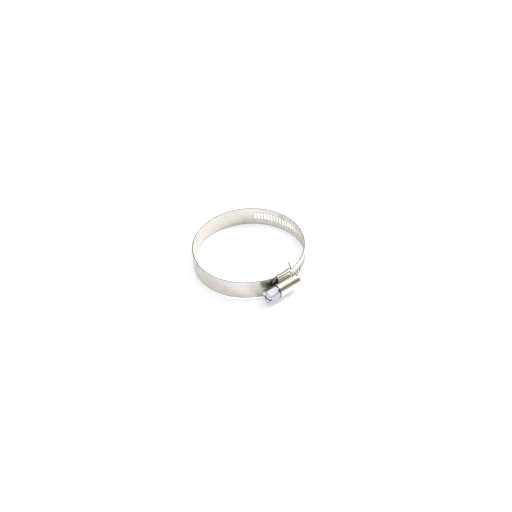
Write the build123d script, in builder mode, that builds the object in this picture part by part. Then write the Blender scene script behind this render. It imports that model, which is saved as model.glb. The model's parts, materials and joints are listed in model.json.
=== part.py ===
"""Worm-drive hose clamp: a perforated steel band, a pressed housing and a captive worm screw.

The origin is the centre of the hose bore at mid-width of the band, +Z runs along the bore, the
housing sits on the -Y side and the screw lies along X with its head towards -X. The plain half of
the band is wrapped about the origin. The slotted half is wrapped about a centre a little nearer
the housing, so that its end passes over the housing's flaps and the fixed end of the band.
"""

from build123d import *
from math import asin, atan2, cos, degrees, pi, radians, sin
import os

# Driving dimensions, in mm
bore_radius = 33.9  # inner face of the plain half of the band
band_width = 12.7
band_thickness = 0.65
lap_gap = 0.16  # between the fixed end and the slotted end lying over it

sheet = 0.8  # thickness of the housing
flap_gap = 0.02  # between the folded flaps and the fixed end

thread_pitch = 2.117
thread_turns = 5.5  # starts at the top of the screw, so that a crest meets the middle slot
thread_radius = 3.8
thread_crest = 0.55
thread_flank = 12  # degrees
thread_foot = 0.1  # how far the thread's foot is sunk into the root
thread_depth_in_slot = 0.55
root_radius = 2.9

slot_width = 1.3
slot_length = 4.8
first_slot = -3  # slots are counted from the one under the middle of the screw
last_slot = 39
web_after_slot = 13  # the slotted end's hinge lies in the web after this slot

barrel_length = 16.6
barrel_clearance = 0.15
leg_length = 10.0
leg_clearance = 0.2  # between the band's edges and the folds
shoulder_clearance = 0.25  # between the slotted end and the shoulders over it
fold_inner_radius = 0.35
fold_outer_radius = 1.3

journal_clearance = 0.05
head_journal_radius = 2.8
tip_journal_radius = 2.5
shoulder_gap = 0.1  # between the screw's shoulders and the end walls
shoulder_chamfer = 0.15
collar_gap = 0.3  # between the collar and the barrel
collar_radius = 4.15
collar_length = 1.2
hex_across_flats = 8.0
hex_corner_radius = 4.45  # the corners of the hex are turned down to this
hex_length = 7.0
hex_chamfer = 0.7
driver_slot_width = 1.1
driver_slot_depth = 1.8
driver_cross_span = 4.6  # the cross recess in the middle of the straight slot

tail_reach = 8.4  # how far the slotted end sticks out past the middle of the housing
tail_corner = 4.0
saddle_overrun = 0.5  # degrees of fixed end that stay seated past the legs
lift_start_angle = 237  # where the fixed end starts to rise towards the housing
tongue_length = 3.6
tongue_bend = 14  # degrees
tongue_bend_radius = 3.0
tongue_corner = 2.5

lock_window_length = 5.0
lock_window_height = 2.0
lock_tab_height = 0.5
lock_clearance = 0.1

hinge_slit = 0.08  # between neighbouring lengths of band
hinge_overrun = 1.0  # degrees of band drawn past a hinge line before it is trimmed
left_hinge_angle = 225
back_hinge_angle = 150
right_hinge_angle = 60

clear_of_clamp = 200.0  # longer than the whole clamp

# Worked out from the driving dimensions
step = sheet + flap_gap + band_thickness + lap_gap  # slotted end to bore, at the housing
eccentricity = step / 2
bore_centre = Vector(0, 0)  # centre of the plain half
wrap_centre = Vector(0, -eccentricity)  # centre of the slotted half and of all that laps it
plain_radius = bore_radius + band_thickness / 2
slotted_radius = plain_radius + eccentricity
flap_inner_radius = bore_radius - eccentricity
fixed_end_radius = flap_inner_radius + sheet + flap_gap + band_thickness / 2
slotted_outer_radius = slotted_radius + band_thickness / 2

screw_radius = slotted_outer_radius - thread_depth_in_slot + thread_radius
screw_centre = Vector(0, -eccentricity - screw_radius, 0)
barrel_inner_radius = thread_radius + barrel_clearance
barrel_outer_radius = barrel_inner_radius + sheet

thread_mean_radius = thread_radius - thread_depth_in_slot / 2
lead_angle = degrees(atan2(thread_pitch, 2 * pi * thread_mean_radius))
slot_angle = degrees(thread_pitch / (slotted_outer_radius - thread_depth_in_slot / 2))
slotted_hinge_angle = -90 + (web_after_slot + 0.5) * slot_angle
saddle_half_angle = degrees(asin(leg_length / 2 / fixed_end_radius)) + saddle_overrun
tail_angle = -90 - degrees(asin(tail_reach / slotted_radius))

channel_inner_radius = flap_inner_radius + sheet
channel_outer_radius = slotted_outer_radius + shoulder_clearance
channel_height = band_width + 2 * leg_clearance
leg_height = channel_height + 2 * sheet
leg_outer_radius = channel_outer_radius + sheet
barrel_foot = barrel_outer_radius / 2  # how far the barrel's walls reach towards the band


def on_circle(centre, radius, angle):
    """The point at this angle, in degrees, on a circle in the XY plane."""
    return centre + Vector(radius * cos(radians(angle)), radius * sin(radians(angle)))


def band_plane(centre, radius, angle):
    """A plane on the band at this angle: x along the band, y along the bore, z outwards."""
    outwards = Vector(cos(radians(angle)), sin(radians(angle)))
    along = Vector(-outwards.Y, outwards.X)
    return Plane(origin=on_circle(centre, radius, angle), x_dir=along, z_dir=outwards)


def leaned(plane, lean):
    """The same plane turned about its normal, so that its y direction leans by this many degrees."""
    return plane.rotated((0, 0, -lean))


def trim_at_hinge(centre, radius, angle, keep_side, lean=0.0):
    """Cuts the band off half a slit away from a hinge line; keep_side is +1 or -1 along the band."""
    plane = leaned(band_plane(centre, radius, angle), lean)
    reach = 4 * band_thickness
    with BuildSketch(plane) as beyond:
        with Locations((-keep_side * (reach - hinge_slit / 2), 0)):
            Rectangle(2 * reach, 2 * band_width)
    extrude(beyond.sketch, amount=reach, both=True, mode=Mode.SUBTRACT)


def cut_slots(first, last):
    """Cuts the leaning slots from first to last, counted from the middle of the housing."""
    for index in range(first, last + 1):
        plane = band_plane(wrap_centre, slotted_radius, -90 + index * slot_angle)
        with BuildSketch(leaned(plane, lead_angle)) as slot:
            RectangleRounded(slot_width, slot_length, slot_width / 4)
        extrude(slot.sketch, amount=band_thickness, both=True, mode=Mode.SUBTRACT)


def round_corners(band, end, corner_radius):
    """Rounds the corners at one end of a band; end is -1 for the lowest x and +1 for the highest."""
    across = band.edges().filter_by(Axis.Z, reverse=True)
    across = across.filter_by(lambda edge: abs(edge.length - band_thickness) < hinge_slit / 8)
    fillet(across.sort_by(Axis.X)[:2] if end < 0 else across.sort_by(Axis.X)[-2:], radius=corner_radius)


# Housing: the legs wrap both edges of the band, and their flaps meet under it
with BuildPart() as housing_shell:
    with BuildSketch(Plane.YZ):
        with Locations((-eccentricity - (flap_inner_radius + leg_outer_radius) / 2, 0)):
            RectangleRounded(leg_outer_radius - flap_inner_radius, leg_height, fold_outer_radius)
        with Locations((-eccentricity - (channel_inner_radius + channel_outer_radius) / 2, 0)):
            RectangleRounded(
                channel_outer_radius - channel_inner_radius,
                channel_height,
                fold_inner_radius,
                mode=Mode.SUBTRACT,
            )
        with Locations((-eccentricity - flap_inner_radius, 0)):
            Rectangle(3 * sheet, 2 * lock_clearance, mode=Mode.SUBTRACT)
    revolve(axis=Axis((0, -eccentricity, 0), (0, 0, 1)))
    with Locations(screw_centre):
        Box(leg_length, 2 * barrel_outer_radius + 2 * step, clear_of_clamp, mode=Mode.INTERSECT)

    # The barrel, open towards the band
    with BuildSketch(Plane.YZ.offset(-barrel_length / 2)):
        with Locations((screw_centre.Y, 0)):
            Circle(barrel_outer_radius)
        with Locations((screw_centre.Y + barrel_foot + barrel_outer_radius, 0)):
            Rectangle(2 * barrel_outer_radius, 2 * barrel_outer_radius, mode=Mode.SUBTRACT)
    extrude(amount=barrel_length)
    with BuildSketch(Plane.YZ.offset(-barrel_length / 2)):
        with Locations((screw_centre.Y, 0)):
            Circle(barrel_inner_radius)
    extrude(amount=barrel_length, mode=Mode.SUBTRACT)

    # The end walls that hold the screw's journals
    for end, journal in ((-1, head_journal_radius), (1, tip_journal_radius)):
        wall_plane = Plane.YZ.offset(end * (barrel_length / 2 - sheet / 2))
        with BuildSketch(wall_plane):
            with Locations((screw_centre.Y, 0)):
                Circle(barrel_outer_radius)
                Circle(journal + journal_clearance, mode=Mode.SUBTRACT)
            with Locations((screw_centre.Y + thread_radius + barrel_outer_radius, 0)):
                Rectangle(2 * barrel_outer_radius, 2 * barrel_outer_radius, mode=Mode.SUBTRACT)
        extrude(amount=sheet / 2, both=True)

    # Tabs turned up from the flaps lock into the window in the fixed end
    for side in (-1, 1):
        with BuildSketch(Plane.XZ.offset(eccentricity + channel_inner_radius - sheet / 2)):
            with Locations((0, side * lock_window_height / 4)):
                Rectangle(
                    lock_window_length - 2 * lock_clearance,
                    lock_window_height / 2 - 2 * lock_clearance,
                )
        extrude(amount=sheet / 2 + lock_tab_height)

housing_shell.part.label = "housing_shell"

# Worm screw: hex head with a driver recess, collar, two journals and a right-hand thread
head_side = -barrel_length / 2
shoulder_x = barrel_length / 2 - sheet - shoulder_gap
thread_length = thread_turns * thread_pitch
thread_depth = thread_radius - root_radius
thread_root_width = thread_crest + 2 * thread_depth * sin(radians(thread_flank))
collar_start = head_side - collar_gap
hex_start = collar_start - collar_length
screw_axis_plane = Plane(origin=screw_centre, x_dir=(1, 0, 0), z_dir=(0, 0, 1))
across_screw = Plane(origin=screw_centre, x_dir=(0, 1, 0), z_dir=(1, 0, 0))

with BuildPart() as worm_screw:
    with BuildSketch(screw_axis_plane):
        with BuildLine():
            Polyline(
                (hex_start, 0),
                (hex_start, collar_radius),
                (collar_start, collar_radius),
                (collar_start, head_journal_radius),
                (-shoulder_x, head_journal_radius),
                (-shoulder_x, root_radius),
                (shoulder_x, root_radius),
                (shoulder_x, tip_journal_radius),
                (barrel_length / 2 + sheet / 4, tip_journal_radius),
                (barrel_length / 2 + sheet / 2, tip_journal_radius - sheet / 4),
                (barrel_length / 2 + sheet / 2, 0),
                close=True,
            )
        make_face()
    revolve(axis=Axis(screw_centre, (1, 0, 0)))
    rims = worm_screw.edges().filter_by(GeomType.CIRCLE).sort_by(Axis.X)
    chamfer(rims[0:2], length=shoulder_chamfer)

    # The hex head, its corners turned down and chamfered
    with BuildSketch(across_screw.offset(hex_start)):
        RegularPolygon(hex_across_flats / 2, 6, major_radius=False)
        Circle(hex_corner_radius, mode=Mode.INTERSECT)
    extrude(amount=-hex_length)
    with BuildSketch(screw_axis_plane):
        with BuildLine():
            Polyline(
                (hex_start - hex_length, hex_corner_radius - hex_chamfer),
                (hex_start - hex_length, 2 * hex_corner_radius),
                (hex_start - hex_length + hex_chamfer, 2 * hex_corner_radius),
                (hex_start - hex_length + hex_chamfer / 2, hex_corner_radius),
                close=True,
            )
        make_face()
    revolve(axis=Axis(screw_centre, (1, 0, 0)), mode=Mode.SUBTRACT)
    with BuildSketch(across_screw.offset(hex_start - hex_length)):
        Rectangle(3 * collar_radius, driver_slot_width)
        Rectangle(driver_slot_width, driver_cross_span)
    extrude(amount=driver_slot_depth, mode=Mode.SUBTRACT)

    # The thread, whose crests stand in the middle of the slots on the band's side
    thread_start = screw_centre - Vector(thread_length / 2, 0, 0)
    with BuildLine():
        Helix(thread_pitch, thread_length, root_radius, center=thread_start, direction=(1, 0, 0))
    profile_origin = thread_start + Vector(0, 0, root_radius)
    with BuildSketch(Plane(origin=profile_origin, x_dir=(1, 0, 0), z_dir=(0, -1, 0))):
        with BuildLine():
            Polyline(
                (-thread_root_width / 2, -thread_foot),
                (-thread_crest / 2, thread_depth),
                (thread_crest / 2, thread_depth),
                (thread_root_width / 2, -thread_foot),
                close=True,
            )
        make_face()
    sweep(is_frenet=True)

worm_screw.part.label = "worm_screw"

# The fixed end: bent up over the flaps, through the housing, and out past it as a short tongue
with BuildPart() as band_fixed_end:
    with BuildSketch(Plane.XY.offset(-band_width / 2)):
        with BuildLine() as fixed_line:
            saddle = CenterArc(
                wrap_centre, fixed_end_radius, -90 - saddle_half_angle, 2 * saddle_half_angle
            )
            bend = JernArc(saddle @ 1, saddle % 1, tongue_bend_radius, tongue_bend)
            Line(bend @ 1, bend @ 1 + (bend % 1) * tongue_length)
            plain = CenterArc(
                bore_centre,
                plain_radius,
                left_hinge_angle - hinge_overrun,
                lift_start_angle - left_hinge_angle + hinge_overrun,
            )
            reach = (saddle @ 0 - plain @ 1).length / 3
            Bezier(
                plain @ 1,
                plain @ 1 + (plain % 1) * reach,
                saddle @ 0 - (saddle % 0) * reach,
                saddle @ 0,
            )
        trace(line_width=band_thickness)
    extrude(amount=band_width)
    round_corners(band_fixed_end, 1, tongue_corner)
    trim_at_hinge(bore_centre, plain_radius, left_hinge_angle, 1)
    with BuildSketch(Plane.XZ.offset(eccentricity + fixed_end_radius)):
        Rectangle(lock_window_length, lock_window_height)
    extrude(amount=band_thickness, both=True, mode=Mode.SUBTRACT)

band_fixed_end.part.label = "band_fixed_end"

# The left length of the plain half
with BuildPart() as band_left_arc:
    with BuildSketch(Plane.XY.offset(-band_width / 2)):
        with BuildLine():
            CenterArc(
                bore_centre,
                plain_radius,
                back_hinge_angle - hinge_overrun,
                left_hinge_angle - back_hinge_angle + 2 * hinge_overrun,
            )
        trace(line_width=band_thickness)
    extrude(amount=band_width)
    trim_at_hinge(bore_centre, plain_radius, left_hinge_angle, -1)
    trim_at_hinge(bore_centre, plain_radius, back_hinge_angle, 1)

band_left_arc.part.label = "band_left_arc"

# The back length, where the plain half meets the wider slotted half
with BuildPart() as band_back_arc:
    with BuildSketch(Plane.XY.offset(-band_width / 2)):
        with BuildLine():
            CenterArc(bore_centre, plain_radius, 90, back_hinge_angle - 90 + hinge_overrun)
            CenterArc(
                wrap_centre,
                slotted_radius,
                right_hinge_angle - hinge_overrun,
                90 - right_hinge_angle + hinge_overrun,
            )
        trace(line_width=band_thickness)
    extrude(amount=band_width)
    trim_at_hinge(bore_centre, plain_radius, back_hinge_angle, -1)
    trim_at_hinge(wrap_centre, slotted_radius, right_hinge_angle, 1)

band_back_arc.part.label = "band_back_arc"

# The right length, slotted for most of its way
with BuildPart() as band_right_arc:
    with BuildSketch(Plane.XY.offset(-band_width / 2)):
        with BuildLine():
            CenterArc(
                wrap_centre,
                slotted_radius,
                slotted_hinge_angle - 2 * hinge_overrun,
                right_hinge_angle - slotted_hinge_angle + 3 * hinge_overrun,
            )
        trace(line_width=band_thickness)
    extrude(amount=band_width)
    trim_at_hinge(wrap_centre, slotted_radius, right_hinge_angle, -1)
    trim_at_hinge(wrap_centre, slotted_radius, slotted_hinge_angle, 1, lead_angle)
    cut_slots(web_after_slot + 1, last_slot)

band_right_arc.part.label = "band_right_arc"

# The slotted end, which passes under the screw and ends as a rounded tail
with BuildPart() as band_slotted_end:
    with BuildSketch(Plane.XY.offset(-band_width / 2)):
        with BuildLine():
            CenterArc(
                wrap_centre,
                slotted_radius,
                tail_angle,
                slotted_hinge_angle - tail_angle + 2 * hinge_overrun,
            )
        trace(line_width=band_thickness)
    extrude(amount=band_width)
    round_corners(band_slotted_end, -1, tail_corner)
    trim_at_hinge(wrap_centre, slotted_radius, slotted_hinge_angle, -1, lead_angle)
    cut_slots(first_slot, web_after_slot)

band_slotted_end.part.label = "band_slotted_end"

os.makedirs("parts", exist_ok=True)
for piece in (
    housing_shell,
    worm_screw,
    band_fixed_end,
    band_left_arc,
    band_back_arc,
    band_right_arc,
    band_slotted_end,
):
    export_step(piece.part, f"parts/{piece.part.label}.step")
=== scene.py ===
"""Looks of the worm-drive hose clamp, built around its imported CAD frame.

Sheet pieces are made the way the real ones are: a flat blank is punched, given its thickness and
rounded edges, and only then bent along its path. Blanks and paths are in millimetres; the bent
pieces are in metres, like everything else in the scene.
"""

import json
import math

import bmesh
import bpy
import numpy as np
from mathutils import Matrix, Vector


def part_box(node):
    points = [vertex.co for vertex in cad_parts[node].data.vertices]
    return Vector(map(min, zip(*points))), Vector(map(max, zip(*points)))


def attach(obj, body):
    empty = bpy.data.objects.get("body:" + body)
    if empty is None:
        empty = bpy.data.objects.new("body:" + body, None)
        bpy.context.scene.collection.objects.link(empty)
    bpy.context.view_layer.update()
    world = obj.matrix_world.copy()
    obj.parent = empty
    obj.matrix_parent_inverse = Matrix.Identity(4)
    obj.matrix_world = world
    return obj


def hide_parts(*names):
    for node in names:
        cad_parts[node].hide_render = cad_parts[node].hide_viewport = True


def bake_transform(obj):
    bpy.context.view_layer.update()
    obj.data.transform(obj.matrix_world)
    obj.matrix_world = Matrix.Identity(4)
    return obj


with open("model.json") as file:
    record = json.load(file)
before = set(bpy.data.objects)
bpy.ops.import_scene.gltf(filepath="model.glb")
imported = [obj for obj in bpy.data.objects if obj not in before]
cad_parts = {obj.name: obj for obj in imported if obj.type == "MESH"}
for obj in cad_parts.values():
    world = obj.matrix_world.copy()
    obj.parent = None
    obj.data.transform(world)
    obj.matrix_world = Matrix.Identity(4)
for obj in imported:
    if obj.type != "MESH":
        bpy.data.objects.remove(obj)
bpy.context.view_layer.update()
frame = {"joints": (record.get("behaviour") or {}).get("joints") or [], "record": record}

MM = 0.001

# ---------------------------------------------------------------- measures taken from the frame


def box_mm(node):
    """The lowest and highest corners of a CAD node, in millimetres."""
    low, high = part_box(node)
    return np.array(low) / MM, np.array(high) / MM


joints = {joint["name"]: joint for joint in frame["joints"]}
hinge = {name: np.array(joint["pos_m"][:2]) / MM for name, joint in joints.items()}
bore_mount = next(m for m in frame["record"]["mounts"] if m["name"] == "hose_bore")

band_width = box_mm("band_left_arc")[1][2] * 2
plain_radius = float(np.hypot(*hinge["left_band_flex"]))
band_thickness = 2 * (plain_radius - bore_mount["dims"]["r_mm"])
slotted_radius = box_mm("band_right_arc")[1][0] - band_thickness / 2
eccentricity = slotted_radius - plain_radius
wrap_centre = np.array([0.0, -eccentricity])
fixed_end_radius = -box_mm("band_fixed_end")[0][1] - eccentricity - band_thickness / 2
screw_y = hinge["screw_turn"][1]
screw_to_wrap = -screw_y - eccentricity
barrel_half = box_mm("housing_shell")[1][0]
housing_half_height = box_mm("housing_shell")[1][2]
barrel_outer_radius = screw_y - box_mm("housing_shell")[0][1]
screw_end = box_mm("worm_screw")[0][0]
tail_x = box_mm("band_slotted_end")[0][0]

thread_pitch = 2.117
sheet = 0.8
punched_angle = 50  # edges of a blank that are sharper than this many degrees get rounded

# ---------------------------------------------------------------- meshes from flat blanks


def object_from(name, mesh):
    """A new object for this mesh, linked to the scene."""
    obj = bpy.data.objects.new(name, mesh)
    bpy.context.scene.collection.objects.link(obj)
    return obj


def modified(obj):
    """The mesh of obj with its modifiers applied; obj itself is removed."""
    depsgraph = bpy.context.evaluated_depsgraph_get()
    mesh = bpy.data.meshes.new_from_object(obj.evaluated_get(depsgraph))
    bpy.data.objects.remove(obj)
    return mesh


def blank_mesh(faces):
    """A flat mesh from faces given as lists of (x, y) corners; shared corners are merged."""
    bm = bmesh.new()
    for corners in faces:
        bm.faces.new([bm.verts.new((x, y, 0.0)) for x, y in corners])
    bmesh.ops.remove_doubles(bm, verts=bm.verts, dist=1e-4)
    mesh = bpy.data.meshes.new("blank")
    bm.to_mesh(mesh)
    bm.free()
    return mesh


def thickened(mesh, thickness, edge_rounding):
    """Gives a flat blank its thickness, half to each side, and rounds its punched edges."""
    obj = object_from("blank", mesh)
    solid = obj.modifiers.new("thickness", "SOLIDIFY")
    solid.thickness = thickness
    solid.offset = 0.0
    rounding = obj.modifiers.new("edges", "BEVEL")
    rounding.width = edge_rounding
    rounding.segments = 3
    rounding.limit_method = "ANGLE"
    rounding.angle_limit = math.radians(punched_angle)
    return modified(obj)


def flat_coordinates(mesh):
    """The vertices of a mesh as an array."""
    co = np.empty(len(mesh.vertices) * 3)
    mesh.vertices.foreach_get("co", co)
    return co.reshape(-1, 3)


def write_uv(mesh, u, v):
    """Stores the flat place of every corner, in centimetres, so that a finish follows the sheet."""
    layer = mesh.uv_layers.new(name="sheet")
    corner = np.empty(len(mesh.loops), dtype=int)
    mesh.loops.foreach_get("vertex_index", corner)
    layer.data.foreach_set("uv", np.stack([u[corner], v[corner]], axis=1).ravel() / 10)


def bend(mesh, place):
    """Bends a thickened blank: place turns its flat coordinates into millimetres in the row frame."""
    flat = flat_coordinates(mesh)
    write_uv(mesh, flat[:, 0], flat[:, 1])
    mesh.vertices.foreach_set("co", (place(flat) * MM).ravel())
    face_outwards(mesh)
    return mesh


def face_outwards(mesh):
    """Turns all faces over if the mesh is inside out, and shades it smooth."""
    bm = bmesh.new()
    bm.from_mesh(mesh)
    if bm.calc_volume(signed=True) < 0:
        bmesh.ops.reverse_faces(bm, faces=bm.faces)
    for face in bm.faces:
        face.smooth = True
    bm.to_mesh(mesh)
    bm.free()


def keep_flats_flat(obj):
    """Shading that follows the large faces, so that rounded edges don't smear over them."""
    normals = obj.modifiers.new("flats", "WEIGHTED_NORMAL")
    normals.keep_sharp = True
    normals.weight = 100


# ---------------------------------------------------------------- paths that blanks are bent along

STEP = 0.05  # spacing of the points that a path is held as


def arc_points(centre, radius, start, end):
    """Points on an arc between two angles in degrees."""
    count = max(4, int(abs(math.radians(end - start)) * radius / STEP))
    angle = np.radians(np.linspace(start, end, count))
    return np.array(centre) + radius * np.stack([np.cos(angle), np.sin(angle)], axis=1)


def bezier_points(a, b, c, d):
    """Points on a cubic curve with these four control points."""
    t = np.linspace(0, 1, int(np.linalg.norm(d - a) / STEP))[:, None]
    return (1 - t) ** 3 * a + 3 * (1 - t) ** 2 * t * b + 3 * (1 - t) * t**2 * c + t**3 * d


def turtle_points(start, heading, moves):
    """Points on a path of straight and bent stretches, each given as (length, turn in degrees)."""
    points = [np.array(start, float)]
    for length, turn in moves:
        count = max(2, int(length / STEP))
        for _ in range(count):
            heading += turn / count / 2
            direction = np.array([math.cos(math.radians(heading)), math.sin(math.radians(heading))])
            points.append(points[-1] + direction * length / count)
            heading += turn / count / 2
    return np.array(points)


class Path:
    """A line in a plane that can be asked for its place and left-hand normal at any length."""

    def __init__(self, points):
        apart = np.linalg.norm(np.diff(points, axis=0), axis=1)
        keep = np.concatenate([[True], apart > 1e-6])
        self.points = points[keep]
        self.length_at = np.concatenate([[0], np.cumsum(apart[apart > 1e-6])])
        along = np.gradient(self.points, self.length_at, axis=0)
        along /= np.linalg.norm(along, axis=1)[:, None]
        self.normals = np.stack([-along[:, 1], along[:, 0]], axis=1)
        self.length = self.length_at[-1]

    def at(self, s, table):
        """The rows of table, one for each point of the path, read off at length s."""
        return np.stack([np.interp(s, self.length_at, table[:, i]) for i in (0, 1)], axis=1)

    def place(self, s, h):
        """The points h to the left of the path at length s."""
        return self.at(s, self.points) + self.at(s, self.normals) * h[:, None]

    def nearest(self, point):
        """The length at which the path passes closest to this point."""
        return self.length_at[np.argmin(np.linalg.norm(self.points - point, axis=1))]


# ---------------------------------------------------------------- the band

tongue_length = 6.6  # sprung into the bore; the CAD's tongue is shorter and pressed clear of it
tongue_bend = 54  # degrees between the saddle's end and the sprung tongue
tongue_bend_radius = 2.2
leg_half = 5.0  # half the width of the housing's legs
past_legs = 0.5  # degrees that the saddle runs on past the legs
past_legs_at_tongue = 1.0  # degrees more that it runs on beside the tongue
saddle_half_angle = math.degrees(math.asin(leg_half / fixed_end_radius)) + past_legs
tongue_start_angle = saddle_half_angle + past_legs_at_tongue
lift_start_angle = 237  # where the fixed end starts to rise over the housing's flaps


def band_path():
    """The band's middle line, from the tip of the tongue clockwise round to the tail."""
    saddle = arc_points(wrap_centre, fixed_end_radius, -90 + tongue_start_angle, -90 - saddle_half_angle)
    tongue = turtle_points(
        saddle[0],
        tongue_start_angle,
        [
            (math.radians(tongue_bend) * tongue_bend_radius, tongue_bend),
            (tongue_length, 0),
        ],
    )[::-1]
    plain = arc_points((0, 0), plain_radius, lift_start_angle, 90)
    ends = saddle[-1], plain[0]
    reach = np.linalg.norm(ends[1] - ends[0]) / 3
    leave = saddle[-1] - saddle[-2]
    join = plain[1] - plain[0]
    lift = bezier_points(
        ends[0],
        ends[0] + leave / np.linalg.norm(leave) * reach,
        ends[1] - join / np.linalg.norm(join) * reach,
        ends[1],
    )
    tail_angle = -90 - math.degrees(math.asin(-tail_x / slotted_radius))
    slotted = arc_points(wrap_centre, slotted_radius, 90, tail_angle)
    return Path(np.concatenate([tongue, saddle, lift, plain, slotted]))


band_edge_rounding = 0.1
slot_width = 1.15  # the CAD's slots are 1.3 wide
slot_length = 4.8
slot_corner = 0.35
slot_frame = 3.1  # half height of the mesh cell that holds a slot
slot_count = 43
slots_past_screw = 3
lean_radius = 3.5  # the slots lean like the thread at this distance from the screw's axis
slot_lean = math.degrees(math.atan2(thread_pitch, 2 * math.pi * lean_radius))
tail_corner = 4.0
tongue_corner = 3.0
corner_steps = 4


def slot_rows():
    """The heights that the mesh rows have beside a slot, from its middle up to the band's edge."""
    straight = slot_length / 2 - slot_corner
    between = (straight + slot_frame) / 2
    rim = (slot_frame + band_width / 2) / 2
    return [straight / 3, straight, between, slot_frame, rim, band_width / 2]


def outline_height(s, length):
    """Half the band's height at length s: the tongue's and the tail's corners are rounded."""
    height = band_width / 2
    for past, corner in ((s, tongue_corner), (length - s, tail_corner)):
        if past < corner:
            height = band_width / 2 - corner + math.sqrt(corner**2 - (corner - past) ** 2)
    return height


def squeezed(s, z, length):
    """z pulled in so that the rows stay inside the rounded outline at length s."""
    height = outline_height(s, length)
    rim = 0.8  # least width of the rows outside the slots' cells
    inner = slot_frame * min(1.0, (height - rim) / slot_frame)
    if abs(z) <= slot_frame:
        return z * inner / slot_frame
    share = (abs(z) - slot_frame) / (band_width / 2 - slot_frame)
    return math.copysign(inner + share * (height - inner), z)


def plain_cells(start, end, rows, length, spacing=0.6):
    """Faces of a stretch of band with no slots."""
    columns = np.linspace(start, end, max(2, round((end - start) / spacing) + 1))
    for left, right in zip(columns, columns[1:]):
        for low, high in zip(rows, rows[1:]):
            yield [
                (left, squeezed(left, low, length)),
                (right, squeezed(right, low, length)),
                (right, squeezed(right, high, length)),
                (left, squeezed(left, high, length)),
            ]


def slot_rings():
    """The rim of a slot and the matching rim of its cell, as lists of (s, z) round its middle."""
    half_s, half_z = slot_width / 2 - slot_corner, slot_length / 2 - slot_corner
    cell_s = thread_pitch / 2
    between_s, between_z = (half_s + cell_s) / 2, (half_z + slot_frame) / 2
    cell_corner = [
        (cell_s, half_z),
        (cell_s, between_z),
        (cell_s, slot_frame),
        (between_s, slot_frame),
        (half_s, slot_frame),
    ]
    rim, cell = [], []
    for quarter in range(4):
        sign_s = 1 if quarter in (0, 3) else -1
        sign_z = 1 if quarter in (0, 1) else -1
        steps = range(corner_steps + 1)
        if quarter in (1, 3):
            steps = reversed(steps)
        for step in steps:
            turn = math.radians(90 * step / corner_steps)
            s = half_s + slot_corner * math.cos(turn)
            z = half_z + slot_corner * math.sin(turn)
            rim.append((sign_s * s, sign_z * z))
            cell.append((sign_s * cell_corner[step][0], sign_z * cell_corner[step][1]))
        if quarter in (0, 2):
            rim.append((0.0, sign_z * slot_length / 2))
            cell.append((0.0, sign_z * slot_frame))
        else:
            for third in (1, -1):
                rim.append((sign_s * slot_width / 2, -third * -sign_z * half_z / 3))
                cell.append((sign_s * cell_s, -third * -sign_z * half_z / 3))
    lean = math.tan(math.radians(slot_lean))
    rim = [(s - z * lean, z) for s, z in rim]
    return rim, cell


def slotted_cells(middle, rows, length):
    """Faces of one pitch of band round the slot with its middle at this length."""
    rim, cell = slot_rings()
    for i in range(len(rim)):
        j = (i + 1) % len(rim)
        corners = [rim[i], cell[i], cell[j], rim[j]]
        yield [(middle + s, squeezed(middle + s, z, length)) for s, z in corners]
    columns = sorted({round(s, 6) for s, z in cell})
    outer_rows = [z for z in rows if abs(z) >= slot_frame - 1e-6]
    for left, right in zip(columns, columns[1:]):
        for low, high in zip(outer_rows, outer_rows[1:]):
            if low * high < 0:
                continue
            yield [
                (middle + left, squeezed(middle + left, low, length)),
                (middle + right, squeezed(middle + right, low, length)),
                (middle + right, squeezed(middle + right, high, length)),
                (middle + left, squeezed(middle + left, high, length)),
            ]


def band_faces(path, middle_slot):
    """Faces of the whole flat strip: plain, then slotted, then the plain tip of the tail."""
    half_rows = slot_rows()
    rows = [-z for z in reversed(half_rows)] + half_rows
    first = middle_slot - (slot_count - slots_past_screw - 1) * thread_pitch
    faces = list(plain_cells(0, first - thread_pitch / 2, rows, path.length))
    for index in range(slot_count):
        faces += slotted_cells(first + index * thread_pitch, rows, path.length)
    last_edge = first + (slot_count - 0.5) * thread_pitch
    faces += plain_cells(last_edge, path.length, rows, path.length, spacing=0.25)
    return faces


def split_by_length(mesh, flat_s, cuts, names):
    """Cuts a bent strip into closed pieces between these lengths; faces go by their middle."""
    pieces = []
    for low, high, name in zip(cuts, cuts[1:], names):
        bm = bmesh.new()
        bm.from_mesh(mesh)
        bm.faces.ensure_lookup_table()
        outside = []
        for face in bm.faces:
            middle = sum(flat_s[v.index] for v in face.verts) / len(face.verts)
            if not low <= middle < high:
                outside.append(face)
        bmesh.ops.delete(bm, geom=outside, context="FACES")
        seam = [edge for edge in bm.edges if edge.is_boundary]
        for face in bmesh.ops.edgeloop_fill(bm, edges=seam)["faces"]:
            face.smooth = False
            for edge in face.edges:
                edge.smooth = False
        part = bpy.data.meshes.new(name)
        bm.to_mesh(part)
        bm.free()
        pieces.append(object_from(name, part))
    return pieces


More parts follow.
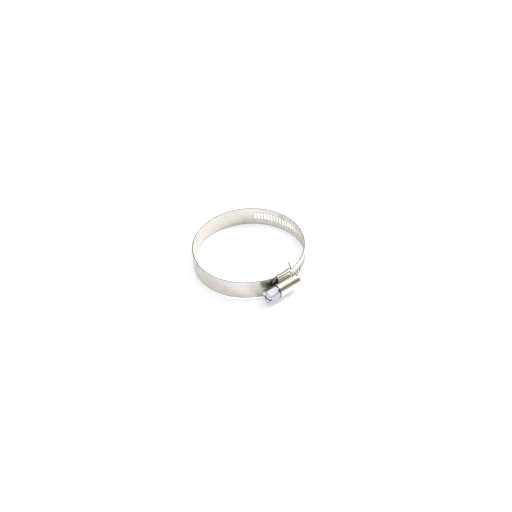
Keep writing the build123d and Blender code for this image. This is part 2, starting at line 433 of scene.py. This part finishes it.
def build_band():
    """The band as one bent strip, cut into pieces where it is rigid, between its flex hinges."""
    path = band_path()
    under_screw = path.nearest(wrap_centre - np.array([0, slotted_radius]))
    mesh = thickened(blank_mesh(band_faces(path, under_screw)), band_thickness, band_edge_rounding)
    flat_s = flat_coordinates(mesh)[:, 0].copy()

    def place(flat):
        plan = path.place(flat[:, 0], flat[:, 2])
        return np.column_stack([plan, flat[:, 1]])

    bend(mesh, place)
    # joint, the bodies before and after it, and half the length in mm over which the band bends
    flexes = (
        ("left_band_flex", "housing", "left_band", 15),
        ("back_band_flex", "left_band", "back_band", 18),
        ("right_band_flex", "back_band", "right_band", 20),
        ("slotted_band_flex", "right_band", "slotted_band", 14),
    )
    at_hinge = [path.nearest(hinge[name]) for name, *_ in flexes]
    cuts = [-1.0]
    for near, far in zip(at_hinge, at_hinge[1:]):
        cuts.append((near + far) / 2)
    cuts.append(path.length + 1)
    web = under_screw + thread_pitch / 2
    cuts[-2] = web + round((cuts[-2] - web) / thread_pitch) * thread_pitch
    names = ("band_front", "band_left", "band_back", "band_slotted")
    nodes = (
        ("band_fixed_end",),
        ("band_left_arc",),
        ("band_back_arc", "band_right_arc"),
        ("band_slotted_end",),
    )
    pieces = split_by_length(mesh, flat_s, cuts, names)
    for piece, (name, near_body, far_body, spread), replaced in zip(pieces, flexes, nodes):
        keep_flats_flat(piece)
        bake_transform(piece)
        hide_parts(*replaced)
    return pieces


# ---------------------------------------------------------------- the housing

sheet_middle = sheet / 2
barrel_mid_radius = barrel_outer_radius - sheet_middle
shoulder_gap = 0.25  # between the slotted band and the shoulders over it
shoulder_drop = screw_to_wrap - (slotted_radius + band_thickness / 2 + shoulder_gap + sheet_middle)
flap_drop = screw_to_wrap - (bore_mount["dims"]["r_mm"] - eccentricity + sheet_middle)
flap_end = 0.12  # half the gap where the flaps meet
sheet_edge_rounding = 0.14
fold_radius = 0.9
crease_radius = 0.8
lip_bend_radius = 1.2
head_bore = 2.9  # in the wall behind the collar
tip_bore = 2.58  # in the lip at the screw's tip
wall_recess = 0.12  # how far the wall behind the collar stands inside the barrel
wall_overlap = 0.02  # how far that wall reaches into the barrel's sheet
wall_edge = 0.08  # chamfer round its bore
wall_facets = 72


def housing_path():
    """Half section of the housing from one flap, over the barrel, to the other; x is height."""
    side = housing_half_height - sheet_middle
    crease_reach = barrel_mid_radius + crease_radius
    crease_rise = shoulder_drop - crease_radius
    crease_z = math.sqrt(crease_reach**2 - crease_rise**2)
    onto_barrel = math.degrees(math.atan2(crease_z, crease_rise))
    quarter = math.pi / 2 * fold_radius
    leg = [
        (side - fold_radius - flap_end, 0),
        (quarter, 90),
        (flap_drop - shoulder_drop - 2 * fold_radius, 0),
        (quarter, 90),
        (side - fold_radius - crease_z, 0),
        (math.radians(180 - onto_barrel) * crease_radius, -(180 - onto_barrel)),
    ]
    barrel_turn = 360 - 2 * onto_barrel
    barrel = (math.radians(barrel_turn) * barrel_mid_radius, barrel_turn)
    path = Path(turtle_points((flap_end, -flap_drop), 0, leg + [barrel] + leg[::-1]))
    leg_length = sum(length for length, _ in leg)
    return path, leg_length


def spread(low, high, spacing):
    """Evenly spaced values from low to high."""
    return list(np.linspace(low, high, max(2, round((high - low) / spacing) + 1)))


lip_start = barrel_half - sheet_middle - lip_bend_radius
lip_bend_length = math.pi / 2 * lip_bend_radius
lip_end = lip_start + lip_bend_length + barrel_mid_radius - lip_bend_radius - tip_bore


def housing_blank(length, leg_length):
    """Faces of the flat blank: a long barrel strip, wider than the legs that fold down from it."""
    tucked = 0.25  # the barrel's wide strip starts this far past the creases
    straight_step = 0.5
    lip_bend_step = 0.12
    lip_step = 0.3
    leg_step = 0.18
    barrel_step = 0.25
    barrel_low, barrel_high = leg_length + tucked, length - leg_length - tucked
    columns = spread(-barrel_half, -leg_half, straight_step)
    columns += spread(-leg_half, leg_half, straight_step)[1:]
    columns += spread(leg_half, lip_start, straight_step)[1:]
    columns += spread(lip_start, lip_start + lip_bend_length, lip_bend_step)[1:]
    columns += spread(lip_start + lip_bend_length, lip_end, lip_step)[1:]
    rows = spread(0, barrel_low, leg_step) + spread(barrel_low, barrel_high, barrel_step)[1:]
    rows += spread(barrel_high, length, leg_step)[1:]
    faces = []
    for left, right in zip(columns, columns[1:]):
        on_leg = abs(left + right) / 2 < leg_half
        for low, high in zip(rows, rows[1:]):
            on_barrel = barrel_low < (low + high) / 2 < barrel_high
            if on_leg or on_barrel:
                faces.append([(left, low), (right, low), (right, high), (left, high)])
    return faces


def end_wall():
    """The ring behind the screw's collar that carries its journal."""
    front = -barrel_half + wall_recess
    inner = head_bore
    outer = barrel_mid_radius - sheet_middle + wall_overlap
    edge = wall_edge
    corners = [
        (front, inner + edge),
        (front, outer),
        (front + sheet, outer),
        (front + sheet, inner + edge),
        (front + sheet - edge, inner),
        (front + edge, inner),
    ]
    bm = bmesh.new()
    turns = np.linspace(0, 2 * math.pi, wall_facets, endpoint=False)
    loops = [[bm.verts.new((x, r * math.cos(t), r * math.sin(t))) for x, r in corners] for t in turns]
    for i, loop in enumerate(loops):
        following = loops[(i + 1) % len(loops)]
        for j in range(len(corners)):
            k = (j + 1) % len(corners)
            bm.faces.new([loop[j], loop[k], following[k], following[j]])
    bmesh.ops.recalc_face_normals(bm, faces=bm.faces)
    mesh = bpy.data.meshes.new("end_wall")
    bm.to_mesh(mesh)
    bm.free()
    place = flat_coordinates(mesh)
    write_uv(mesh, place[:, 1], place[:, 2])
    face_outwards(mesh)
    mesh.transform(Matrix.Scale(MM, 4))
    mesh.transform(Matrix.Translation((0, screw_y * MM, 0)))
    return mesh


def joined(meshes, name):
    """One object that holds all of these meshes."""
    bm = bmesh.new()
    for mesh in meshes:
        bm.from_mesh(mesh)
    whole = bpy.data.meshes.new(name)
    bm.to_mesh(whole)
    bm.free()
    return object_from(name, whole)


def build_housing():
    """The housing, pressed from one blank: a barrel with a turned-in end, and two folded legs."""
    path, leg_length = housing_path()
    mesh = thickened(blank_mesh(housing_blank(path.length, leg_length)), sheet, sheet_edge_rounding)

    def place(flat):
        x, u, h = flat.T
        section = path.place(u, -h)
        height, outwards = section[:, 0], section[:, 1]
        # the legs follow the curve of the band
        sag = x**2 / 2 / fixed_end_radius
        start = barrel_mid_radius * 0.3
        share = np.clip((-outwards - start) / (shoulder_drop - start), 0, 1)
        outwards = outwards - sag * share * (np.abs(x) < leg_half + 1)
        # the barrel's far end turns in towards the screw
        past = x - lip_start
        turning = past > 0
        angle = np.clip(past / lip_bend_radius, 0, math.pi / 2)
        inwards = np.clip(past - lip_bend_length, 0, None)
        drop = lip_bend_radius * (1 - np.cos(angle)) + inwards
        radius = np.hypot(height, outwards)
        lip_radius = barrel_mid_radius - drop - h * np.cos(angle)
        lip_x = lip_start + (lip_bend_radius - h) * np.sin(angle)
        scale = np.where(turning, lip_radius / radius, 1.0)
        out_x = np.where(turning, lip_x, x)
        return np.column_stack([out_x, screw_y - outwards * scale, height * scale])

    piece = joined([bend(mesh, place), end_wall()], "housing")
    keep_flats_flat(piece)
    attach(piece, "housing")
    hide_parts("housing_shell")
    return piece


# ---------------------------------------------------------------- the worm screw

collar_radius = 4.15
collar_length = 1.2
collar_corner = 0.2
collar_gap = 0.3  # between the collar and the barrel
collar_back = -barrel_half - collar_gap
collar_front = collar_back - collar_length
hex_across_flats = 8.0
hex_corner_radius = 4.45  # where the corners of the hex are turned off
hex_face_radius = 3.65
hex_chamfer_slope = math.tan(math.radians(30))
head_edge = 0.08  # rounding between the chamfer and the flats
driver_slot_half = 0.55
driver_cross_half = 2.3
driver_depth = 1.8
driver_draft = 0.12  # how much the recess narrows towards its floor
head_journal = 2.8
tip_journal = 2.5
root_radius = 2.9
thread_radius = 3.8
thread_turns = 5.5
thread_crest = 0.55
thread_foot = 0.95  # width of the thread where it meets the root
thread_runout = 0.5  # turns over which the thread fades at each end
thread_steps = 24  # about this many rings in each turn of the thread
least_fade = 0.02  # share of its height that the ridge keeps where it has faded out
foot_sink = 0.05  # how far the thread's foot lies under the root
core_sink = 0.3  # how far the ridge goes on inside it
root_gap = 0.1  # from the end of the thread's root to the lip at the screw's tip
screw_edge_rounding = 0.06
screw_sharp_angle = 48  # edges sharper than this many degrees get rounded


def hex_radius(angle):
    """Radius of the hex head at an angle in radians, its corners turned down a little."""
    from_flat = (angle + math.pi / 6) % (math.pi / 3) - math.pi / 6
    return min(hex_across_flats / 2 / math.cos(from_flat), hex_corner_radius)


def head_angles():
    """Angles round the screw, closer together at the corners of the hex."""
    corner_half = math.pi / 6 - math.acos(hex_across_flats / 2 / hex_corner_radius)
    angles = []
    for side in range(6):
        corner = math.radians(60 * side + 30)
        angles += list(np.linspace(corner - corner_half, corner + corner_half, 5))
        angles += list(np.linspace(corner + corner_half, corner + math.pi / 3 - corner_half, 16))[1:-1]
    return angles


def round_corner(x, radius, direction):
    """Points on a turned corner of the collar; direction is -1 at its front and +1 at its back."""
    turns = np.radians(np.linspace(0, 90, 5))
    along = x + direction * collar_corner * (np.sin(turns) - 1)
    across = radius - collar_corner * (1 - np.cos(turns))
    return list(zip(along, across))


def head_rings():
    """Rings of the hex head from its face to the collar, each a function of angle giving (x, radius)."""

    def chamfer(angle, along=0.0, inwards=0.0):
        rise = (hex_radius(angle) - hex_face_radius) * hex_chamfer_slope
        return screw_end + rise + along, hex_radius(angle) - inwards

    return [
        lambda angle: (screw_end, hex_face_radius - head_edge),
        lambda angle: (screw_end + head_edge * 0.3, hex_face_radius + head_edge * 0.4),
        lambda angle: chamfer(angle, -head_edge * 0.45, head_edge * 0.8),
        lambda angle: chamfer(angle, -head_edge * 0.1, head_edge * 0.2),
        lambda angle: chamfer(angle, head_edge * 0.6),
        lambda angle: chamfer(angle, head_edge * 2),
        lambda angle: (collar_front - head_edge * 3, hex_radius(angle)),
        lambda angle: (collar_front - head_edge, hex_radius(angle) + head_edge / 4),
        lambda angle: (collar_front, hex_radius(angle) + head_edge),
    ]


def shank_profile():
    """Collar, journals and root as (x, radius) from the collar's face to the screw's tip."""
    shoulder = barrel_half - sheet - root_gap
    tip = barrel_half + sheet / 2
    edge = 0.1
    return [
        *round_corner(collar_front, collar_radius, -1)[::-1],
        *round_corner(collar_back, collar_radius, 1),
        (collar_back, head_journal + edge),
        (collar_back + edge, head_journal),
        (-shoulder, head_journal),
        (-shoulder + edge, root_radius),
        (0.0, root_radius),
        (shoulder - edge, root_radius),
        (shoulder, root_radius - edge),
        (shoulder, tip_journal),
        (tip - 2 * edge, tip_journal),
        (tip - edge, tip_journal - edge / 3),
        (tip, tip_journal - 2 * edge),
    ]


def closed_tube(name, rings):
    """A closed mesh through rings of points, with a flat face over each end."""
    bm = bmesh.new()
    verts = [[bm.verts.new(point) for point in ring] for ring in rings]
    for one, two in zip(verts, verts[1:]):
        for i in range(len(one)):
            j = (i + 1) % len(one)
            bm.faces.new([one[i], one[j], two[j], two[i]])
    bm.faces.new(verts[0][::-1])
    bm.faces.new(verts[-1])
    bmesh.ops.recalc_face_normals(bm, faces=bm.faces)
    mesh = bpy.data.meshes.new(name)
    bm.to_mesh(mesh)
    bm.free()
    face_outwards(mesh)
    return mesh


def turned_blank():
    """Hex head, collar, journals and root about the screw's axis, in millimetres."""
    angles = head_angles()
    places = [[ring(angle) for angle in angles] for ring in head_rings()]
    places += [[place] * len(angles) for place in shank_profile()]
    rings = []
    for ring in places:
        rings.append([(x, r * math.cos(a), r * math.sin(a)) for (x, r), a in zip(ring, angles)])
    return closed_tube("screw", rings)


def driver_cutter():
    """The combined straight and cross recess, as the solid that is taken out of the head."""

    def outline(x, narrower):
        half = driver_slot_half - narrower
        span = driver_cross_half - narrower
        reach = 2 * collar_radius
        one_side = [(reach, -half), (reach, half), (half, half), (half, span), (-half, span), (-half, half)]
        return [(x, y, z) for y, z in one_side] + [(x, -y, -z) for y, z in one_side]

    mouth = outline(screw_end - 1, 0)
    bottom = outline(screw_end + driver_depth, driver_draft)
    return closed_tube("recess", [mouth, bottom])


def thread_sweep():
    """The right-hand thread: a ridge that fades in and out, its crests on the middle of the slots."""
    rings = []
    steps = int(thread_turns * thread_steps)
    for turn in np.linspace(0, thread_turns, steps):
        fade = min(1.0, turn / thread_runout, (thread_turns - turn) / thread_runout)
        rise = (thread_radius - root_radius + foot_sink) * max(fade, least_fade)
        crest = root_radius - foot_sink + rise
        angle = 2 * math.pi * turn + math.pi / 2
        x = (turn - thread_turns / 2) * thread_pitch
        section = [
            (-thread_foot / 2, root_radius - core_sink),
            (-thread_foot / 2, root_radius - foot_sink),
            (-thread_crest / 2, crest),
            (thread_crest / 2, crest),
            (thread_foot / 2, root_radius - foot_sink),
            (thread_foot / 2, root_radius - core_sink),
        ]
        rings.append([(x + dx, r * math.cos(angle), r * math.sin(angle)) for dx, r in section])
    return closed_tube("thread", rings)


def combined(base, operation, tool):
    """The mesh of base after a union or a difference with tool."""
    target, helper = object_from("target", base), object_from("helper", tool)
    boolean = target.modifiers.new("boolean", "BOOLEAN")
    boolean.operation = operation
    boolean.solver = "EXACT"
    boolean.object = helper
    mesh = modified(target)
    bpy.data.objects.remove(helper)
    return mesh


def build_screw():
    """The worm screw."""
    threaded = combined(turned_blank(), "UNION", thread_sweep())
    mesh = combined(threaded, "DIFFERENCE", driver_cutter())
    piece = object_from("screw", mesh)
    rounding = piece.modifiers.new("edges", "BEVEL")
    rounding.width = screw_edge_rounding
    rounding.segments = 2
    rounding.limit_method = "ANGLE"
    rounding.angle_limit = math.radians(screw_sharp_angle)
    mesh = modified(piece)
    face_outwards(mesh)
    piece = object_from("screw", mesh)
    mesh.transform(Matrix.Scale(MM, 4))
    mesh.transform(Matrix.Translation((0, screw_y * MM, 0)))
    keep_flats_flat(piece)
    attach(piece, "screw")
    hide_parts("worm_screw")
    return piece


# ---------------------------------------------------------------- floor, light and camera


floor_half = 1.5  # metres


def build_floor():
    """A plain pale floor that touches the folds of the housing and the far edge of the band."""
    front_y = -bore_mount["dims"]["r_mm"] * MM
    front_z = -housing_half_height * MM
    back_y = box_mm("band_back_arc")[1][1] * MM
    back_z = -band_width / 2 * MM
    slope = (back_z - front_z) / (back_y - front_y)
    corners = []
    for across, away in ((-1, -1), (1, -1), (1, 1), (-1, 1)):
        x = across * floor_half
        y = away * floor_half
        corners.append((x, y, front_z + (y - front_y) * slope))
    mesh = bpy.data.meshes.new("floor")
    mesh.from_pydata(corners, [], [(0, 1, 2, 3)])
    floor = object_from("floor", mesh)
    return floor


view_azimuth = math.radians(-35)
view_elevation = math.radians(42.4)
view_roll = math.radians(4.6)  # the picture's right side is turned up by this much
view_distance = 1.2
frame_width = 0.3192  # width of the picture at the clamp's distance
aim_right = 0.0050
aim_up = -0.0023


def view_axes():
    """Unit vectors from the clamp to the camera, to the right and up in the picture."""
    back = Vector(
        (
            math.sin(view_azimuth) * math.cos(view_elevation),
            -math.cos(view_azimuth) * math.cos(view_elevation),
            math.sin(view_elevation),
        )
    )
    level = Vector((math.cos(view_azimuth), math.sin(view_azimuth), 0))
    right = Matrix.Rotation(-view_roll, 3, back) @ level
    return back, right, back.cross(right)


def build_camera():
    """The camera at the photographed angle."""
    back, right, up = view_axes()
    aim = right * aim_right + up * aim_up
    data = bpy.data.cameras.new("camera")
    data.sensor_width = 36
    data.lens = data.sensor_width * view_distance / frame_width
    data.clip_start = 0.01
    camera = bpy.data.objects.new("camera", data)
    bpy.context.scene.collection.objects.link(camera)
    camera.location = aim + back * view_distance
    camera.rotation_euler = Matrix((right, up, back)).transposed().to_euler()
    bpy.context.scene.camera = camera


tent_strength = 1.4
horizon_colour = (0.62, 0.62, 0.60)
zenith_colour = (1, 1, 1)
colours_between = (  # by height, from 0 at the horizon to 1 overhead
    (0.2, (0.36, 0.36, 0.34)),
    (0.62, (0.24, 0.24, 0.225)),
    (0.84, (1.0, 1.0, 0.985)),
)
room_direction = (0.424, -0.653, 0.627)  # of the dark opening, placed for the barrel's dark streak
opening_edge = 38  # degrees from its middle at which the opening starts to darken
opening_core = 10  # degrees from its middle within which it is darkest
opening_share = 0.6  # of the tent's strength that is left there
key_place = (1.0, -0.25, 0.95)
key_size = 0.5
key_energy = 15


def build_world():
    """A light tent: bright overhead, dim halfway down, brighter at the horizon, one dark opening."""
    world = bpy.data.worlds.new("studio")
    world.use_nodes = True
    nodes, links = world.node_tree.nodes, world.node_tree.links
    direction = nodes.new("ShaderNodeTexCoord").outputs["Generated"]
    split = nodes.new("ShaderNodeSeparateXYZ")
    links.new(direction, split.inputs[0])
    ramp = nodes.new("ShaderNodeValToRGB")
    ramp.color_ramp.interpolation = "EASE"
    links.new(split.outputs["Z"], ramp.inputs["Fac"])
    stops = ramp.color_ramp.elements
    stops[0].position = 0.0
    stops[0].color = (*horizon_colour, 1)
    stops[1].position = 1.0
    stops[1].color = (*zenith_colour, 1)
    for height, colour in colours_between:
        stop = stops.new(height)
        stop.color = (*colour, 1)
    towards = nodes.new("ShaderNodeVectorMath")
    towards.operation = "DOT_PRODUCT"
    links.new(direction, towards.inputs[0])
    towards.inputs[1].default_value = room_direction
    opening = nodes.new("ShaderNodeMapRange")
    opening.interpolation_type = "SMOOTHSTEP"
    links.new(towards.outputs["Value"], opening.inputs["Value"])
    opening.inputs["From Min"].default_value = math.cos(math.radians(opening_edge))
    opening.inputs["From Max"].default_value = math.cos(math.radians(opening_core))
    opening.inputs["To Min"].default_value = tent_strength
    opening.inputs["To Max"].default_value = tent_strength * opening_share
    background = nodes["Background"]
    links.new(ramp.outputs["Color"], background.inputs["Color"])
    links.new(opening.outputs["Result"], background.inputs["Strength"])
    bpy.context.scene.world = world
    bpy.context.scene.view_settings.view_transform = "Standard"


def area_light(name, place, size, energy):
    """A round lamp at this place in metres, aimed at the clamp."""
    data = bpy.data.lights.new(name, "AREA")
    data.shape = "DISK"
    data.size = size
    data.energy = energy
    light = bpy.data.objects.new(name, data)
    light.location = place
    light.rotation_euler = Vector(place).to_track_quat("Z", "Y").to_euler()
    bpy.context.scene.collection.objects.link(light)


# ---------------------------------------------------------------- finishes


class Finish:
    """A material whose nodes are added one at a time; inputs are sockets or plain values."""

    def __init__(self, name, metallic=1.0):
        self.material = bpy.data.materials.new(name)
        self.material.use_nodes = True
        self.tree = self.material.node_tree
        self.shader = self.tree.nodes["Principled BSDF"]
        self.set("Metallic", metallic)

    def feed(self, socket, value):
        """Links value to the socket if it is a socket itself, or sets it there."""
        if isinstance(value, bpy.types.NodeSocket):
            self.tree.links.new(value, socket)
        else:
            socket.default_value = value

    def set(self, name, value):
        """Sets one input of the shader."""
        self.feed(self.shader.inputs[name], value)

    def node(self, kind, inputs=(), **settings):
        """A new node of this kind, with its settings and its inputs by name or number."""
        node = self.tree.nodes.new("ShaderNode" + kind)
        for name, value in settings.items():
            setattr(node, name, value)
        for key, value in dict(inputs).items():
            self.feed(node.inputs[key], value)
        return node

    def sheet_place(self, scale):
        """Place on the flat sheet in centimetres, scaled."""
        uv = self.node("UVMap", uv_map="sheet").outputs[0]
        return self.node("Mapping", {"Vector": uv, "Scale": scale}).outputs[0]

    def solid_place(self, scale):
        """Place in the piece in metres, scaled."""
        place = self.node("TexCoord").outputs["Object"]
        return self.node("Mapping", {"Vector": place, "Scale": scale}).outputs[0]

    def noise(self, place, detail=2.0, roughness=0.5):
        """Cloudy values around a half, with features about one unit across."""
        inputs = {"Vector": place, "Scale": 1.0, "Detail": detail, "Roughness": roughness}
        return self.node("TexNoise", inputs).outputs["Fac"]

    def fade(self, value, low, high, start=0.0, end=1.0):
        """Runs smoothly from start to end as value goes from low to high."""
        inputs = {"Value": value, 1: low, 2: high, 3: start, 4: end}
        return self.node("MapRange", inputs, interpolation_type="SMOOTHSTEP").outputs[0]

    def sum(self, one, two):
        """One value plus the other."""
        return self.node("Math", {0: one, 1: two}, operation="ADD").outputs[0]

    def scaled(self, value, factor):
        """The value times a factor."""
        return self.node("Math", {0: value, 1: factor}, operation="MULTIPLY").outputs[0]

    def mixed(self, share, one, two, blend_type="MIX"):
        """The colour that is one where share is 0 and two where it is 1."""
        colours = [(*c, 1) if isinstance(c, tuple) else c for c in (one, two)]
        inputs = {0: share, 6: colours[0], 7: colours[1]}
        return self.node("Mix", inputs, data_type="RGBA", blend_type=blend_type).outputs[2]

    def openness(self, distance, low=0.15, high=0.75):
        """0 deep in a crevice, 1 in the open."""
        reach = self.node("AmbientOcclusion", {"Distance": distance}, samples=8)
        return self.fade(reach.outputs["AO"], low, high)

    def worn_edge(self, low=0.52, high=0.60):
        """1 on outside edges, 0 elsewhere."""
        return self.fade(self.node("NewGeometry").outputs["Pointiness"], low, high)

    def facing_up(self):
        """1 where the surface faces up, 0 where it stands upright or faces down."""
        split = self.node("SeparateXYZ", {0: self.node("NewGeometry").outputs["Normal"]})
        return self.fade(split.outputs["Z"], 0.25, 0.7)

    def bump(self, height, depth, under=None):
        """Raises the surface by height times depth, in metres."""
        inputs = {"Height": height, "Distance": depth, "Strength": 1.0}
        if under is not None:
            inputs["Normal"] = under
        return self.node("Bump", inputs).outputs[0]


def band_finish():
    """Rolled stainless strip with fine lines, olive and pink casts and random dark olive patches,
    which are painted reflections.

    It is painted darker where it faces up, a painted reflection along its top edges, and where other
    surfaces are within 8 mm, painted shade that stands in for what the real strip reflects there.
    Its crevices get painted shade too.
    """
    finish = Finish("band_steel")
    plain = (0.66, 0.64, 0.595)
    olive = (0.61, 0.595, 0.49)
    pink = (0.69, 0.625, 0.59)
    line_colour = (0.45, 0.44, 0.41)
    scuff_colour = (0.47, 0.46, 0.44)
    painted_reflection_patch_colour = (0.42, 0.41, 0.31)
    painted_upward_reflection_colour = (0.40, 0.395, 0.38)
    shaded_colour = (0.30, 0.235, 0.15)
    painted_crevice_shade_colour = (0.12, 0.11, 0.08)
    lines = finish.noise(finish.sheet_place((0.8, 90, 1)), detail=3, roughness=0.65)
    bands = finish.noise(finish.sheet_place((0.25, 9, 1)))
    clouds = finish.noise(finish.sheet_place((0.9, 1.4, 1)), detail=3)
    casts = finish.noise(finish.sheet_place((0.33, 0.5, 1)), detail=1)
    scuffs = finish.noise(finish.sheet_place((14, 26, 1)), detail=4, roughness=0.7)
    cast = finish.mixed(finish.fade(casts, 0.38, 0.62), olive, pink)
    steel = finish.mixed(finish.fade(clouds, 0.35, 0.65, 0.25, 0.75), plain, cast)
    steel = finish.mixed(finish.fade(lines, 0.3, 0.7, 0, 0.22), steel, line_colour)
    steel = finish.mixed(finish.fade(scuffs, 0.62, 0.72, 0, 0.3), steel, scuff_colour)
    # dark olive patches at random places: painted reflections
    painted_reflection_patches = finish.noise(finish.sheet_place((1.1, 0.7, 1)), detail=2)
    steel = finish.mixed(finish.fade(painted_reflection_patches, 0.58, 0.68, 0, 0.55), steel, painted_reflection_patch_colour)
    # painted dark reflection where the strip faces up
    steel = finish.mixed(finish.facing_up(), steel, painted_upward_reflection_colour)
    steel = finish.mixed(finish.openness(0.008, 0.25, 0.65), shaded_colour, steel)
    # painted shade in crevices
    steel = finish.mixed(finish.openness(0.0022), painted_crevice_shade_colour, steel)
    finish.set("Base Color", steel)
    rough = finish.fade(lines, 0.3, 0.7, 0.24, 0.38)
    rough = finish.sum(rough, finish.fade(clouds, 0.3, 0.7, -0.04, 0.06))
    finish.set("Roughness", finish.sum(rough, finish.fade(scuffs, 0.6, 0.75, 0, 0.12)))
    relief = finish.sum(lines, finish.scaled(bands, 3))
    relief = finish.bump(relief, 2e-6)
    finish.set("Normal", finish.bump(finish.fade(scuffs, 0.6, 0.75), 4e-6, relief))
    return finish.material


def housing_finish():
    """Bright pressed sheet: draw lines along the barrel, warm clouds, scuffs and painted shade in its
    crevices.
    """
    finish = Finish("housing_steel")
    light_steel = (0.74, 0.72, 0.65)
    dark_steel = (0.67, 0.65, 0.58)
    line_colour = (0.46, 0.44, 0.37)
    scuff_colour = (0.40, 0.385, 0.33)
    edge_colour = (0.70, 0.69, 0.66)
    painted_crevice_shade_colour = (0.09, 0.085, 0.055)
    lines = finish.noise(finish.sheet_place((1.1, 70, 1)), detail=3, roughness=0.6)
    ripples = finish.noise(finish.sheet_place((3.5, 7, 1)), detail=2)
    clouds = finish.noise(finish.sheet_place((2.2, 2.2, 1)), detail=3)
    scuffs = finish.noise(finish.sheet_place((30, 45, 1)), detail=4, roughness=0.7)
    steel = finish.mixed(finish.fade(clouds, 0.35, 0.65), light_steel, dark_steel)
    steel = finish.mixed(finish.fade(lines, 0.35, 0.75, 0, 0.3), steel, line_colour)
    steel = finish.mixed(finish.fade(scuffs, 0.62, 0.74, 0, 0.4), steel, scuff_colour)
    steel = finish.mixed(finish.scaled(finish.worn_edge(), 0.5), steel, edge_colour)
    # painted shade in crevices
    depth = finish.openness(0.002, 0.25, 0.85)
    steel = finish.mixed(depth, painted_crevice_shade_colour, steel)
    finish.set("Base Color", steel)
    rough = finish.fade(clouds, 0.3, 0.7, 0.13, 0.22)
    rough = finish.sum(rough, finish.fade(lines, 0.3, 0.7, 0, 0.07))
    finish.set("Roughness", finish.sum(rough, finish.fade(scuffs, 0.6, 0.75, 0, 0.15)))
    relief = finish.bump(finish.sum(lines, finish.scaled(ripples, 16)), 2e-6)
    finish.set("Normal", finish.bump(finish.fade(scuffs, 0.6, 0.75), 2e-6, relief))
    return finish.material


def screw_finish():
    """Bright zinc plate: cool, slightly mottled, with turning marks and a steel-blue recess."""
    finish = Finish("screw_zinc")
    blue_zinc = (0.46, 0.495, 0.54)
    grey_zinc = (0.58, 0.585, 0.575)
    mottle_colour = (0.22, 0.245, 0.28)
    edge_colour = (0.80, 0.82, 0.85)
    recess_colour = (0.34, 0.52, 0.84)
    mottle = finish.noise(finish.solid_place((900, 900, 900)), detail=4, roughness=0.6)
    hues = finish.noise(finish.solid_place((330, 330, 330)), detail=2)
    turning = finish.noise(finish.solid_place((9000, 300, 300)), detail=2)
    grain = finish.noise(finish.solid_place((9000, 9000, 9000)), detail=3)
    zinc = finish.mixed(finish.fade(hues, 0.38, 0.62), blue_zinc, grey_zinc)
    zinc = finish.mixed(finish.fade(mottle, 0.42, 0.62, 0, 0.65), zinc, mottle_colour)
    zinc = finish.mixed(finish.scaled(finish.worn_edge(), 0.8), zinc, edge_colour)
    depth = finish.openness(0.0014, 0.3, 0.85)
    zinc = finish.mixed(depth, recess_colour, zinc)
    finish.set("Base Color", zinc)
    rough = finish.fade(mottle, 0.3, 0.7, 0.16, 0.34)
    finish.set("Roughness", finish.sum(rough, finish.fade(grain, 0.4, 0.7, 0, 0.08)))
    uneven = finish.bump(hues, 1.2e-4)
    relief = finish.bump(finish.sum(turning, finish.scaled(mottle, 4)), 4e-6, uneven)
    finish.set("Normal", finish.bump(grain, 2e-6, relief))
    return finish.material


def floor_finish():
    """Matt white acrylic that glows a little, which keeps its shadows pale."""
    finish = Finish("floor_acrylic", metallic=0.0)
    finish.set("Base Color", (0.88, 0.88, 0.92, 1))
    finish.set("Roughness", 0.8)
    finish.set("Emission Color", (0.97, 0.97, 1.0, 1))
    finish.set("Emission Strength", 0.35)
    return finish.material


# ---------------------------------------------------------------- the scene

band_pieces = build_band()
housing = build_housing()
screw = build_screw()
floor = build_floor()
band_steel = band_finish()
for piece in band_pieces:
    piece.data.materials.append(band_steel)
housing.data.materials.append(housing_finish())
screw.data.materials.append(screw_finish())
floor.data.materials.append(floor_finish())
build_world()
area_light("key", key_place, key_size, key_energy)
build_camera()
